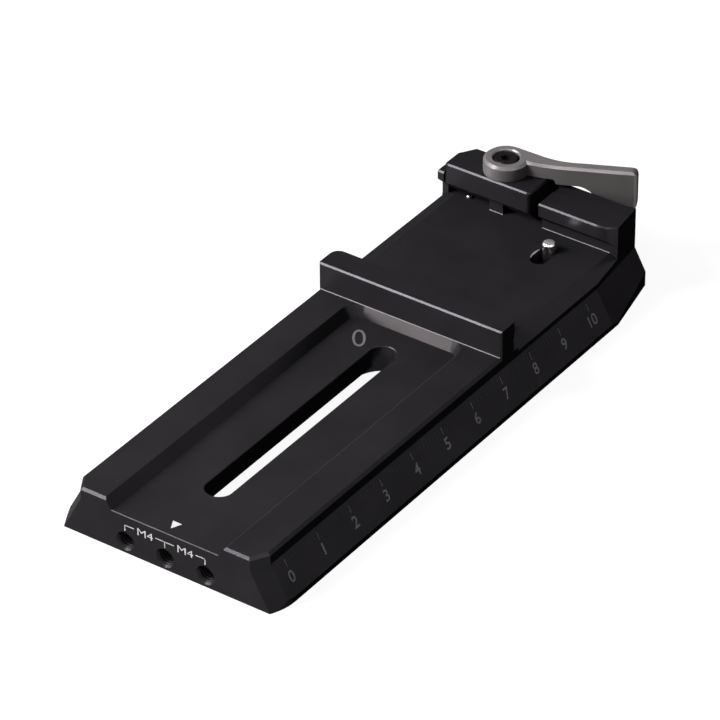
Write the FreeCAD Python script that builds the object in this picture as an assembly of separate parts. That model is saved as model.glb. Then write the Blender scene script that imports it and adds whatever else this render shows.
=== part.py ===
"""Tripod quick release plate: a 50 mm wide video plate with a 38 mm lever clamp at its far end.

Millimetres. X runs across the plate with the ruled edge at +X, Y runs from the front face
to the clamp, Z is up from the underside. The origin is the middle of the underside at the
front face. The clamp is drawn closed, with the lever folded along the far end.
"""
import FreeCAD
import Part
import math
import os

V = FreeCAD.Vector

# How far a cutting shape runs past the face that it opens
overrun = 4.0

# Plate section: a wide land, a dovetail flank, a short wall and a chamfered rail
plate_width = 50.0
plate_length = 128.45
land_height = 1.2
flank_inset = 3.8
flank_top = 8.05
rail_top = 10.6
rail_chamfer = 0.55
half = plate_width / 2
wall_half = half - flank_inset
flank_slope = flank_inset / (flank_top - land_height)

# Front end: the land's rounded corners and the facets above them
front_inset_top = 5.85
front_inset_foot = 1.6
corner_depth = 3.5
corner_radius = 11.5
nose_chamfer = 0.48
front_half_top = half - front_inset_top
front_half_foot = half - front_inset_foot

# Clamp seat between the jaws, set out from the far end
far_jaw_depth = 7.9
dovetail_width = 38.2
dovetail_reach = 1.65
dovetail_wall = 1.95
side_facet_inset = 2.8
side_facet_drop = 1.4
left_facet_drop = 1.05
seat_back = plate_length - far_jaw_depth
seat_front = seat_back - dovetail_width
dovetail_low = rail_top + dovetail_wall
dovetail_high = dovetail_low + dovetail_reach
side_facet_half = wall_half - side_facet_inset

# Rib across the plate: the clamp's fixed near jaw
rib_thickness = 5.8
rib_height = 6.0
rib_corner = 2.0
edge_chamfer = 0.3
root_fillet = 0.12
rib_back = seat_front + dovetail_reach
rib_front = rib_back - rib_thickness
rib_top = rail_top + rib_height

# Recess in the top, open at the front
recess_depth = 2.2
recess_half_floor = 12.15
recess_wall_run = 1.4
recess_end_run = 0.98
recess_corner = 2.0
floor_chamfer = 0.12
recess_floor = rail_top - recess_depth
recess_end = rib_front - root_fillet

# Camera screw slot and the channel under it that hides the screw heads
slot_width = 5.55
slot_start = 14.1
slot_end_gap = 6.2
slot_rim = 0.12
channel_half = 6.6
channel_ceiling = 4.2
slot_end = rib_front - slot_end_gap

# Three accessory threads in the front face, drawn at the tapping bore
thread_pitch_x = 9.1
thread_z = 2.6
thread_bore = 3.3
thread_mouth = 4.1
thread_depth = 7.5

# Far jaw, a block at the right with a shelf behind its diagonal edge
far_jaw_left = 2.65
far_jaw_height = 6.45
far_jaw_corner = 5.2
shelf_drop = 0.25
shelf_run = 0.43
shelf_depth = 4.1
shelf_end_inset = 2.3
far_jaw_top = rail_top + far_jaw_height
far_lip = seat_back - dovetail_reach

# Thin cheek at the left of the far jaw
cheek_thick = 1.4
cheek_height = 5.65
cheek_depth = 6.05
cheek_corner = 1.5
cheek_relief = 0.1
cheek_inner = wall_half - cheek_thick
cheek_top = rail_top + cheek_height
cheek_back = seat_back + cheek_depth

# The ruled side draws in towards the far end, the land more than the flank
taper_run = 16.85
taper_rate = 0.116
land_taper_run = 14.65
land_taper_rate = 0.212
taper_start = plate_length - taper_run
land_taper_start = plate_length - land_taper_run

# Moving jaw
jaw_side_gap = 0.15
jaw_right_gap = 2.05
jaw_ahead = 0.05
jaw_lip_height = 3.5
jaw_height = 7.95
jaw_back_inset = 1.25
jaw_float = 0.05
jaw_corner_x = 2.25
jaw_corner_y = 3.55
jaw_round = 0.9
jaw_edge = 0.3
jaw_x0 = jaw_side_gap - cheek_inner
jaw_x1 = far_jaw_left - jaw_right_gap
jaw_mid = (jaw_x0 + jaw_x1) / 2
jaw_lip = far_lip - jaw_ahead
jaw_back = plate_length - jaw_back_inset
jaw_lip_low = rail_top + jaw_lip_height
jaw_top = rail_top + jaw_height
jaw_foot = rail_top + jaw_float
undercut_foot = jaw_lip + jaw_lip_low - jaw_foot

# Lever axis, and the throw that gives the jaw its travel over the lever's swing
lever_inset = 8.6
lever_setback = 3.7
lever_swing = 95.0
jaw_travel = 1.8
lever_x = jaw_x1 - lever_inset
lever_y = jaw_back - lever_setback
eccentric_throw = jaw_travel / (2 * math.sin(math.radians(lever_swing / 2)))

# Key that guides the jaw, and the cross slot that the eccentric works in
key_width = 3.2
key_ahead = 0.45
key_height = 2.5
key_end_gap = 0.6
key_clearance = 0.07
key_headroom = 0.15
eccentric_radius = 1.45
eccentric_clearance = 0.07
eccentric_end_gap = 0.4
cross_slot_depth = 3.0
cross_slot_play = 0.4
key_front = seat_back - key_ahead
key_top = rail_top + key_height
cross_slot_floor = rail_top - cross_slot_depth

# Offset of the eccentric from the lever axis with the clamp closed
closed_phase = math.radians(180 - lever_swing / 2)
eccentric_x = lever_x + eccentric_throw * math.cos(closed_phase)
eccentric_y = lever_y + eccentric_throw * math.sin(closed_phase)

# Shaft that carries the lever in the jaw
flange_rim = 0.05
flange_gap = 0.4
flange_thick = 1.0
flange_clearance = 0.13
flange_float = 0.1
journal_step = 0.4
journal_clearance = 0.05
drive_step = 0.4
drive_wall = 0.45
drive_clearance = 0.03
flange_radius = eccentric_throw + eccentric_radius + flange_rim
flange_low = key_top + flange_gap
flange_high = flange_low + flange_thick
journal_radius = flange_radius - journal_step
drive_radius = journal_radius - drive_step

# Washer and lever hub
washer_thick = 0.3
washer_inset = 0.1
washer_clearance = 0.15
hub_radius = 4.6
hub_height = 2.75
hub_floor = 1.0
screw_pocket_radius = 2.7
screw_pocket_rim = 0.22
washer_radius = hub_radius - washer_inset
hub_low = jaw_top + washer_thick
hub_top = hub_low + hub_height
screw_seat = hub_low + hub_floor

# Lever arm and paddle, measured along and across the arm from the lever axis
arm_angle = 26.9
arm_front = 2.1
arm_thick = 2.4
arm_clearance = 0.75
arm_step = 11.0
arm_step_run = 1.4
arm_blend_back = 14.6
arm_blend_front = 12.6
hub_flank_run = 5.2
hub_flank_rise = 0.1
hub_front_angle = 20.0
arch_start = 15.0
arch_run = 4.4
paddle_height = 9.0
paddle_end = 26.0
paddle_lead = 0.8
paddle_corner = 1.7
paddle_tip = 1.5
tip_round = 0.8
lever_edge = 0.45
arm_under = far_jaw_top + arm_clearance
paddle_foot = hub_top - paddle_height

# Lever screw
lever_screw_head_radius = 2.5
lever_screw_head_height = 1.4
lever_screw_thread = 2.5
lever_screw_length = 4.4
lever_screw_hex = 2.0
lever_screw_hex_depth = 0.9
thread_play = 0.22
blind_end = 0.4
lever_screw_bore = lever_screw_thread / 2 - thread_play + 0.02
drive_flat = lever_screw_bore + drive_wall

# Guide pins, their legs under the jaw, and the springs round them
leg_inset = 3.125
leg_width = 5.0
leg_drop = 6.0
leg_setback = 5.05
leg_gap = 0.15
leg_relief = 0.3
pin_drop = 3.8
pin_radius = 1.0
pin_running = 0.04
pin_length = 16.8
pin_sunk = 0.4
pin_end_gap = 0.8
spring_bore = 1.65
spring_length = 6.3
spring_wire = 0.36
spring_mean = 1.32
spring_turns = 5
leg_foot = rail_top - leg_drop
leg_front = plate_length - leg_setback
pin_z = rail_top - pin_drop
spring_seat = leg_front - spring_length
pin_back = jaw_back - pin_sunk
pin_places = {"left": jaw_x0 + leg_inset, "right": jaw_x1 - leg_inset}

# Small dowel in the seat that stops the jaw when the clamp is closed empty
dowel_radius = 0.6
dowel_inset = 4.25
dowel_behind = 1.0
dowel_proud = 0.55
dowel_sunk = 1.7
dowel_gap = 0.15
dowel_x = jaw_x0 + dowel_inset
dowel_y = seat_back + dowel_behind
dowel_top = rail_top + dowel_proud
dowel_foot = rail_top - dowel_sunk

# Safety pin, its slot in the seat, and its collar and nose
safety_x = 8.2
safety_inset = 6.15
safety_radius = 1.35
safety_proud = 2.0
safety_running = 0.04
safety_slot_half = 1.7
safety_slot_ahead = 5.2
safety_slot_depth = 3.2
safety_rim = 0.15
safety_web = 1.4
safety_float = 0.1
safety_collar_radius = 2.1
safety_collar_thick = 0.9
safety_nose_radius = 1.0
safety_nose = 1.6
safety_pocket_radius = 2.4
safety_y = seat_back - safety_inset
safety_slot_floor = rail_top - safety_slot_depth
web_low = safety_slot_floor - safety_web
collar_top = web_low - safety_float
collar_low = collar_top - safety_collar_thick

# Cover under the safety pin, its screws, and the pin's spring
cover_thick = 0.9
cover_half = 3.1
cover_length = 15.2
cover_play = 0.1
cover_screw_pitch = 11.0
cover_screw_thread = 2.0
cover_screw_head = 1.8
cover_screw_sink = 0.8
cover_screw_length = 5.2
cover_screw_hex = 1.3
pin_spring_mean = 1.55
pin_spring_wire = 0.34
pin_spring_turns = 3.5


def prism(points, direction):
    """Extrude a closed polygon of 3-D points along a vector."""
    wire = Part.makePolygon([V(*p) for p in points] + [V(*points[0])])
    return Part.Face(wire).extrude(V(*direction))


def along_x(yz, x0, x1):
    return prism([(x0, y, z) for y, z in yz], (x1 - x0, 0, 0))


def along_y(xz, y0, y1):
    return prism([(x, y0, z) for x, z in xz], (0, y1 - y0, 0))


def along_z(xy, z0, z1):
    return prism([(x, y, z0) for x, y in xy], (0, 0, z1 - z0))


def block(x0, x1, y0, y1, z0, z1):
    return Part.makeBox(x1 - x0, y1 - y0, z1 - z0, V(x0, y0, z0))


def post(radius, x, y, z0, z1):
    return Part.makeCylinder(radius, z1 - z0, V(x, y, z0))


def rod(radius, x, z, y0, y1):
    return Part.makeCylinder(radius, y1 - y0, V(x, y0, z), V(0, 1, 0))


def cone(r0, r1, x, y, z0, z1):
    return Part.makeCone(r0, r1, z1 - z0, V(x, y, z0))


def beyond(points, outward, size):
    """A large block on the outer side of the plane through three points."""
    a, b, c = [V(*p) for p in points]
    normal = (b - a).cross(c - a).normalize()
    if normal.dot(V(*outward)) < 0:
        normal = normal.negative()
    u = (b - a).normalize()
    w = normal.cross(u)
    corners = []
    for i, j in ((-1, -1), (1, -1), (1, 1), (-1, 1)):
        corners.append(a + u * (i * size) + w * (j * size))
    face = Part.Face(Part.makePolygon(corners + [corners[0]]))
    return face.extrude(normal * size)


def flat_wire(parts, z):
    """Join lines and arcs given as lists of two or three plan points."""
    edges = []
    for pts in parts:
        vec = [V(x, y, z) for x, y in pts]
        if len(vec) == 2:
            edges.append(Part.LineSegment(vec[0], vec[1]).toShape())
        else:
            edges.append(Part.Arc(vec[0], vec[1], vec[2]).toShape())
    return Part.Wire(edges)


def arc_into(start, end, heading):
    """Plan points of the arc from a start point that runs into an end point at a heading."""
    nx = -math.sin(heading)
    ny = math.cos(heading)
    dx = start[0] - end[0]
    dy = start[1] - end[1]
    r = (dx * dx + dy * dy) / (2 * (nx * dx + ny * dy))
    cx = end[0] + nx * r
    cy = end[1] + ny * r
    mx = (start[0] + end[0]) / 2 - cx
    my = (start[1] + end[1]) / 2 - cy
    k = abs(r) / math.hypot(mx, my)
    return [start, (cx + mx * k, cy + my * k), end]


def bow(r):
    """How far the middle of a quarter round lies inside its square corner."""
    return r * (1 - math.sqrt(0.5))


def open_pocket(half_x, y0, y1, r, z):
    """Plan outline of a pocket that is square in front and has round corners behind."""
    k = bow(r)
    parts = [
        [(-half_x, y0), (half_x, y0)],
        [(half_x, y0), (half_x, y1 - r)],
        [(half_x, y1 - r), (half_x - k, y1 - k), (half_x - r, y1)],
        [(half_x - r, y1), (r - half_x, y1)],
        [(r - half_x, y1), (k - half_x, y1 - k), (-half_x, y1 - r)],
        [(-half_x, y1 - r), (-half_x, y0)],
    ]
    return flat_wire(parts, z)


def stadium_wire(half_x, x, y0, y1, z):
    parts = [
        [(x + half_x, y0 + half_x), (x + half_x, y1 - half_x)],
        [(x + half_x, y1 - half_x), (x, y1), (x - half_x, y1 - half_x)],
        [(x - half_x, y1 - half_x), (x - half_x, y0 + half_x)],
        [(x - half_x, y0 + half_x), (x, y0), (x + half_x, y0 + half_x)],
    ]
    return flat_wire(parts, z)


def stadium(half_x, x, y0, y1, z0, z1):
    """A slot along Y with round ends, from end to end."""
    return Part.Face(stadium_wire(half_x, x, y0, y1, z0)).extrude(V(0, 0, z1 - z0))


def slot_chamfer(half_x, x, y0, y1, top, size):
    """The widening cut round the rim of a slot along Y."""
    low = stadium_wire(half_x, x, y0, y1, top - size)
    high = stadium_wire(half_x + size, x, y0 - size, y1 + size, top)
    return Part.makeLoft([low, high], True, True)


def hexagon(flats, x, y, z0, z1):
    r = flats / math.sqrt(3)
    pts = []
    for i in range(6):
        a = math.radians(60 * i)
        pts.append((x + r * math.cos(a), y + r * math.sin(a)))
    return along_z(pts, z0, z1)


def coil(mean, wire, turns, length, base, axis):
    """A compression spring of six-sided wire whose end turns lie against its seats."""
    steps = round(12 * turns)
    rise = length - wire
    sections = []
    for i in range(steps + 1):
        turn = 2 * math.pi * turns * i / steps
        pts = []
        for k in range(6):
            a = math.radians(60 * k + 30)
            r = mean + wire / 2 * math.cos(a)
            z = wire / 2 + rise * i / steps + wire / 2 * math.sin(a)
            pts.append(V(r * math.cos(turn), r * math.sin(turn), z))
        sections.append(Part.makePolygon(pts + [pts[0]]))
    shell = Part.makeLoft(sections, True, True)
    turn = FreeCAD.Rotation(V(0, 0, 1), V(*axis))
    shell.Placement = FreeCAD.Placement(V(*base), turn)
    return shell


def chamfer_where(shape, size, test):
    """Chamfer each edge that the test picks by its box."""
    edges = [e for e in shape.Edges if test(e.BoundBox)]
    return shape.makeChamfer(size, edges)


def save(name, shape):
    shape = shape.removeSplitter()
    if len(shape.Solids) == 1:
        shape = shape.Solids[0]
    print(name, "valid", shape.isValid(), "solids", len(shape.Solids), "volume", round(shape.Volume, 1))
    shape.exportStep("parts/" + name + ".step")


def plate_outline():
    """The extruded section with its front corners."""
    section = [
        (-half, 0), (half, 0), (half, land_height), (wall_half, flank_top),
        (wall_half, rail_top - rail_chamfer), (wall_half - rail_chamfer, rail_top),
        (rail_chamfer - wall_half, rail_top), (-wall_half, rail_top - rail_chamfer),
        (-wall_half, flank_top), (-half, land_height),
    ]
    body = along_y(section, 0, plate_length)
    # Plan outline of the land: an arc at each front corner
    tangent = math.sqrt(corner_radius ** 2 - (corner_radius - front_inset_foot) ** 2)
    right = arc_into((front_half_foot, 0), (half, tangent), math.pi / 2)
    left = [(-x, y) for x, y in reversed(right)]
    plan = [
        [(-front_half_foot, 0), (front_half_foot, 0)],
        right,
        [(half, tangent), (half, plate_length)],
        [(half, plate_length), (-half, plate_length)],
        [(-half, plate_length), (-half, tangent)],
        left,
    ]
    mask = Part.Face(flat_wire(plan, -1)).extrude(V(0, 0, rail_top + 2))
    body = body.common(mask)
    # Facets over the corners: a slanted one on the flank, an upright one and its chamfer above
    low = block(-plate_width, plate_width, -plate_width, plate_width, -overrun, flank_top)
    high = block(-plate_width, plate_width, -plate_width, plate_width, flank_top, rail_top + overrun)
    dx = wall_half - front_half_top
    across = rail_chamfer / math.hypot(dx, corner_depth)
    for side in (-1, 1):
        foot = (side * front_half_foot, 0, 0)
        front = (side * front_half_top, 0, flank_top)
        back = (side * wall_half, corner_depth, flank_top)
        up = (side * front_half_top, 0, rail_top)
        body = body.cut(beyond([foot, front, back], (side, -1, 0), plate_width).common(low))
        body = body.cut(beyond([up, front, back], (side, -1, 0), plate_width).common(high))
        edge = rail_top - rail_chamfer
        bevel = [
            (side * front_half_top, 0, edge),
            (side * wall_half, corner_depth, edge),
            (side * (front_half_top - corner_depth * across), dx * across, rail_top),
        ]
        body = body.cut(beyond(bevel, (side, -1, 1), plate_width).common(high))
    # Chamfer across the front of both rails
    nose = [(0, rail_top - nose_chamfer), (nose_chamfer, rail_top), (nose_chamfer, rail_top + 1),
            (-1, rail_top + 1), (-1, rail_top - nose_chamfer)]
    return body.cut(along_x(nose, -half, half))


def cut_recess_and_slot(body):
    """Recess with sloping walls, camera screw slot, its rim, and the channel under it."""
    end_floor = recess_end - recess_end_run
    low = open_pocket(recess_half_floor, -overrun, end_floor, recess_corner, recess_floor)
    top = open_pocket(recess_half_floor + recess_wall_run, -overrun, recess_end,
                      recess_corner + recess_wall_run, rail_top)
    body = body.cut(Part.makeLoft([low, top], True, True))
    c = floor_chamfer
    floor_edge = [(-1, recess_floor - c), (0, recess_floor - c), (c, recess_floor),
                  (c, recess_floor + 1), (-1, recess_floor + 1)]
    body = body.cut(along_x(floor_edge, -recess_half_floor, recess_half_floor))
    body = body.cut(stadium(slot_width / 2, 0, slot_start, slot_end, -1, rail_top))
    body = body.cut(slot_chamfer(slot_width / 2, 0, slot_start, slot_end, recess_floor, slot_rim))
    reach = channel_half - slot_width / 2
    return body.cut(stadium(channel_half, 0, slot_start - reach, slot_end + reach, -1, channel_ceiling))


def cut_front_threads(body):
    lead = (thread_mouth - thread_bore) / 2
    for i in (-1, 0, 1):
        x = i * thread_pitch_x
        drill = rod(thread_bore / 2, x, thread_z, -1, thread_depth)
        mouth = Part.makeCone(thread_mouth / 2, thread_bore / 2, lead, V(x, 0, thread_z), V(0, 1, 0))
        body = body.cut(drill).cut(mouth)
    return body


def rib():
    """Near jaw: bevelled in front, round at its back corners, undercut as a dovetail."""
    c = edge_chamfer
    k = bow(rib_corner)
    w = wall_half
    turn = rib_back - rib_corner
    outline = [
        [(c - w, rib_front), (w - c, rib_front)],
        [(w - c, rib_front), (w, rib_front + c)],
        [(w, rib_front + c), (w, turn)],
        [(w, turn), (w - k, rib_back - k), (w - rib_corner, rib_back)],
        [(w - rib_corner, rib_back), (rib_corner - w, rib_back)],
        [(rib_corner - w, rib_back), (k - w, rib_back - k), (-w, turn)],
        [(-w, turn), (-w, rib_front + c)],
        [(-w, rib_front + c), (c - w, rib_front)],
    ]
    body = Part.Face(flat_wire(outline, flank_top)).extrude(V(0, 0, rib_top - flank_top))
    past = rib_back + overrun
    under = [(seat_front, rail_top), (seat_front, dovetail_low), (rib_back, dovetail_high),
             (past, dovetail_high), (past, rail_top)]
    body = body.cut(along_x(under, -half, half))
    lead = [(rib_front - 1, rib_top - c), (rib_front, rib_top - c), (rib_front + c, rib_top),
            (rib_front + c, rib_top + 1), (rib_front - 1, rib_top + 1)]
    return body.cut(along_x(lead, -half, half))


def far_jaw():
    """Right-hand block of the far jaw, undercut as a dovetail, with its shelf."""
    right = wall_half - taper_rate * (seat_back - taper_start)
    turn = wall_half - far_jaw_corner
    corner = arc_into((right, seat_back), (turn, far_lip), math.pi)
    outline = [
        [(far_jaw_left, far_lip), (turn, far_lip)],
        list(reversed(corner)),
        [(right, seat_back), (wall_half, seat_back)],
        [(wall_half, seat_back), (wall_half, plate_length)],
        [(wall_half, plate_length), (far_jaw_left, plate_length)],
        [(far_jaw_left, plate_length), (far_jaw_left, far_lip)],
    ]
    jaw = Part.Face(flat_wire(outline, flank_top)).extrude(V(0, 0, far_jaw_top - flank_top))
    ahead = far_lip - overrun
    under = [(ahead, flank_top), (seat_back, flank_top), (seat_back, dovetail_low),
             (far_lip, dovetail_high), (ahead, dovetail_high)]
    jaw = jaw.cut(along_x(under, 0, half))
    tiny = 0.01
    jaw = chamfer_where(jaw, edge_chamfer, lambda b: b.ZMin > far_jaw_top - tiny
                        and b.YMax < seat_back + tiny and b.XMax < right + tiny)
    # Shelf behind the diagonal edge, reached by a short slope
    shelf = far_jaw_top - shelf_drop
    x1 = wall_half - shelf_end_inset
    y0 = plate_length - shelf_depth
    slope = [(far_jaw_left, y0, far_jaw_top), (x1, plate_length, far_jaw_top),
             (far_jaw_left, y0 + shelf_run, shelf)]
    above = block(-half, half, far_lip, plate_length + overrun, shelf, far_jaw_top + overrun)
    return jaw.cut(beyond(slope, (0, 1, 1), plate_width).common(above))


def cheek():
    """Thin left-hand end of the far jaw."""
    c = edge_chamfer
    g = cheek_relief
    side = [
        (seat_back + g, flank_top), (seat_back + g, dovetail_low + g), (far_lip, dovetail_high + g),
        (far_lip, cheek_top - c), (far_lip + c, cheek_top),
        (cheek_back - cheek_corner, cheek_top), (cheek_back, cheek_top - cheek_corner),
        (cheek_back, flank_top),
    ]
    return along_x(side, -wall_half, -cheek_inner)


def taper_right(body):
    run = taper_run + overrun
    high = far_jaw_top + overrun
    foot = half + flank_slope * land_height
    outside = [(foot, taper_start, 0), (wall_half, taper_start, flank_top),
               (wall_half, taper_start, high), (plate_width, taper_start, high),
               (plate_width, taper_start, 0)]
    body = body.cut(prism(outside, (-taper_rate * run, run, 0)))
    run = land_taper_run + overrun
    land = [(half, land_taper_start), (half - land_taper_rate * run, land_taper_start + run),
            (plate_width, land_taper_start + run), (plate_width, land_taper_start)]
    return body.cut(along_z(land, -1, high))


def jaw_key():
    """The key that the jaw straddles, with a root fillet at its visible front."""
    f = root_fillet
    back = plate_length - key_end_gap
    side = [(key_front - f, rail_top), (key_front, rail_top + f), (key_front, key_top),
            (back, key_top), (back, rail_top - 1), (key_front - f, rail_top - 1)]
    return along_x(side, lever_x - key_width / 2, lever_x + key_width / 2)


def jaw_openings():
    """Cross slot for the eccentric, leg pockets, pin bores and the dowel's hole."""
    reach = eccentric_radius + eccentric_clearance
    y0 = eccentric_y - reach
    y1 = eccentric_y + reach
    sweep = eccentric_throw * (1 - abs(math.cos(closed_phase))) / 2
    mid = lever_x - eccentric_throw + sweep
    half_slot = eccentric_radius + sweep + cross_slot_play
    cuts = block(mid - half_slot, mid + half_slot, y0, y1, cross_slot_floor, key_top + 1)
    cuts = cuts.fuse(block(lever_x - key_width, lever_x + key_width, y0, y1, rail_top, key_top + 1))
    bore_end = pin_back - pin_length - pin_end_gap
    for x in pin_places.values():
        w = leg_width / 2 + leg_gap
        cuts = cuts.fuse(block(x - w, x + w, leg_front - leg_relief, plate_length + 1,
                               leg_foot - leg_gap, rail_top + 0.01))
        cuts = cuts.fuse(rod(spring_bore, x, pin_z, spring_seat, leg_front))
        cuts = cuts.fuse(rod(pin_radius + pin_running, x, pin_z, bore_end, leg_front))
    return cuts.fuse(post(dowel_radius, dowel_x, dowel_y, dowel_foot, rail_top + 0.01))


def safety_openings():
    """Slot in the seat, bore, spring pocket, cover recess and its screw bores."""
    x = safety_x
    y = safety_y
    front = y - safety_slot_ahead
    back = y + safety_slot_half
    cuts = stadium(safety_slot_half, x, front, back, safety_slot_floor, rail_top + 1)
    cuts = cuts.fuse(slot_chamfer(safety_slot_half, x, front, back, rail_top, safety_rim))
    cuts = cuts.fuse(post(safety_radius + safety_running, x, y, web_low - 0.1, safety_slot_floor + 0.1))
    cuts = cuts.fuse(post(safety_pocket_radius, x, y, 0, web_low))
    long = cover_length / 2 + cover_play
    cuts = cuts.fuse(stadium(cover_half + cover_play, x, y - long, y + long, -1, cover_thick + cover_play))
    bore = cover_screw_thread / 2 - thread_play + 0.02
    for side in (-1, 1):
        cuts = cuts.fuse(post(bore, x, y + side * cover_screw_pitch / 2,
                              0, cover_play + cover_screw_length + blind_end))
    return cuts


def base_plate():
    body = plate_outline()
    body = cut_recess_and_slot(body)
    body = cut_front_threads(body)
    body = body.fuse(rib())
    # Shallow facet down each side of the seat, the left one a little flatter
    reach = side_facet_inset + overrun
    for side, drop in ((-1, left_facet_drop), (1, side_facet_drop)):
        out = side * (side_facet_half + reach)
        fall = drop * reach / side_facet_inset
        tri = [(side * side_facet_half, rail_top), (out, rail_top), (out, rail_top - fall)]
        body = body.cut(along_y(tri, rib_back, seat_back))
    body = body.fuse(far_jaw())
    body = body.fuse(cheek())
    # Small fillets at the roots of the rib and the far jaw
    f = root_fillet
    c = edge_chamfer
    roots = [(rib_front, c - wall_half, wall_half - c), (seat_back, far_jaw_left, side_facet_half)]
    for y, x0, x1 in roots:
        body = body.fuse(along_x([(y - f, rail_top), (y, rail_top), (y, rail_top + f)], x0, x1))
    body = taper_right(body)
    body = body.fuse(jaw_key())
    body = body.cut(jaw_openings())
    return body.cut(safety_openings())


def jaw_plan():
    """Plan outline of the moving jaw: a straight bevel behind at the left, rounds elsewhere."""
    r = jaw_round
    k = bow(r)
    x0 = jaw_x0
    x1 = jaw_x1
    y0 = jaw_lip
    y1 = jaw_back
    return [
        [(x0 + r, y0), (x1 - r, y0)],
        [(x1 - r, y0), (x1 - k, y0 + k), (x1, y0 + r)],
        [(x1, y0 + r), (x1, y1 - r)],
        [(x1, y1 - r), (x1 - k, y1 - k), (x1 - r, y1)],
        [(x1 - r, y1), (x0 + jaw_corner_x, y1)],
        [(x0 + jaw_corner_x, y1), (x0, y1 - jaw_corner_y)],
        [(x0, y1 - jaw_corner_y), (x0, y0 + r)],
        [(x0, y0 + r), (x0 + k, y0 + k), (x0 + r, y0)],
    ]


def movable_jaw():
    jaw = Part.Face(flat_wire(jaw_plan(), jaw_foot)).extrude(V(0, 0, jaw_top - jaw_foot))
    ahead = jaw_lip - overrun
    under = [(ahead, jaw_foot - 1), (undercut_foot + 1, jaw_foot - 1), (jaw_lip, jaw_lip_low),
             (ahead, jaw_lip_low)]
    jaw = jaw.cut(along_x(under, jaw_x0 - 1, jaw_x1 + 1))
    jaw = chamfer_where(jaw, jaw_edge, lambda b: b.ZMin > jaw_top - 0.01)
    for x in pin_places.values():
        w = leg_width / 2
        jaw = jaw.fuse(block(x - w, x + w, leg_front, jaw_back - 0.01, leg_foot, jaw_foot + 0.5))
    # Bore for the shaft, cavity under it, groove over the key and a notch for the dowel
    groove = key_width / 2 + key_clearance
    jaw = jaw.cut(post(journal_radius + journal_clearance, lever_x, lever_y, flange_low, jaw_top + 1))
    jaw = jaw.cut(post(flange_radius + flange_clearance, lever_x, lever_y,
                       leg_foot, flange_high + flange_float))
    jaw = jaw.cut(block(lever_x - groove, lever_x + groove, jaw_lip - 1, jaw_back + 1,
                        leg_foot, key_top + key_headroom))
    w = dowel_radius + dowel_gap
    jaw = jaw.cut(block(dowel_x - w, dowel_x + w, jaw_lip, dowel_y + w,
                        jaw_foot - 1, dowel_top + 3 * dowel_gap))
    for x in pin_places.values():
        jaw = jaw.cut(rod(pin_radius, x, pin_z, leg_front - 1, pin_back))
    return jaw


def eccentric_shaft():
    shaft = post(journal_radius, lever_x, lever_y, flange_high, hub_low)
    shaft = shaft.fuse(post(flange_radius, lever_x, lever_y, flange_low, flange_high))
    shaft = shaft.fuse(post(eccentric_radius, eccentric_x, eccentric_y,
                            cross_slot_floor + eccentric_end_gap, flange_low))
    drive = post(drive_radius, lever_x, lever_y, hub_low, screw_seat - 0.1)
    flats = block(lever_x - drive_flat, lever_x + drive_flat,
                  lever_y - hub_radius, lever_y + hub_radius, hub_low, hub_top)
    shaft = shaft.fuse(drive.common(flats))
    return shaft.cut(post(lever_screw_bore, lever_x, lever_y,
                          screw_seat - lever_screw_length - blind_end, hub_top))


def arm_point(along, across):
    """Plan point at a distance along the arm from the lever axis, and to its left."""
    a = math.radians(arm_angle)
    x = lever_x + along * math.cos(a) - across * math.sin(a)
    y = lever_y + along * math.sin(a) + across * math.cos(a)
    return (x, y)


def cam_lever():
    inner = -arm_front
    outer = arm_thick - arm_front
    r = tip_round
    k = bow(r)
    end = paddle_end
    heading = math.radians(arm_angle)
    turn = math.radians(hub_front_angle)
    hub_back = (lever_x, lever_y + hub_radius)
    hub_front = (lever_x + hub_radius * math.cos(turn), lever_y + hub_radius * math.sin(turn))
    flank = (lever_x + hub_flank_run, lever_y + hub_radius + hub_flank_rise)
    front_arc = arc_into(hub_front, arm_point(arm_blend_front, inner), heading)
    outline = [
        [hub_back, flank],
        arc_into(flank, arm_point(arm_blend_back, outer), heading),
        [arm_point(arm_blend_back, outer), arm_point(end - r, outer)],
        [arm_point(end - r, outer), arm_point(end - k, outer - k), arm_point(end, outer - r)],
        [arm_point(end, outer - r), arm_point(end, inner + r)],
        [arm_point(end, inner + r), arm_point(end - k, inner + k), arm_point(end - r, inner)],
        [arm_point(end - r, inner), arm_point(arm_blend_front, inner)],
        list(reversed(front_arc)),
        [hub_front, (lever_x, lever_y)],
        [(lever_x, lever_y), hub_back],
    ]
    arm = Part.Face(flat_wire(outline, paddle_foot)).extrude(V(0, 0, hub_top - paddle_foot))
    arm = arm.cut(arch_cutter())
    lever = arm.fuse(post(hub_radius, lever_x, lever_y, hub_low, hub_top)).removeSplitter()
    lever = chamfer_where(lever, lever_edge, lambda b: b.ZMin > hub_top - 0.01)
    lever = lever.cut(tip_cutter())
    # Drive hole for the shaft and the pocket for the screw head
    drive = post(drive_radius + drive_clearance, lever_x, lever_y, hub_low - 1, screw_seat + 0.1)
    flat = drive_flat + drive_clearance
    drive = drive.common(block(lever_x - flat, lever_x + flat, lever_y - hub_radius,
                               lever_y + hub_radius, hub_low - 1, hub_top))
    lever = lever.cut(drive)
    lever = lever.cut(post(screw_pocket_radius, lever_x, lever_y, screw_seat, hub_top + 1))
    rim = screw_pocket_rim
    return lever.cut(cone(screw_pocket_radius, screw_pocket_radius + rim,
                          lever_x, lever_y, hub_top - rim, hub_top))


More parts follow.
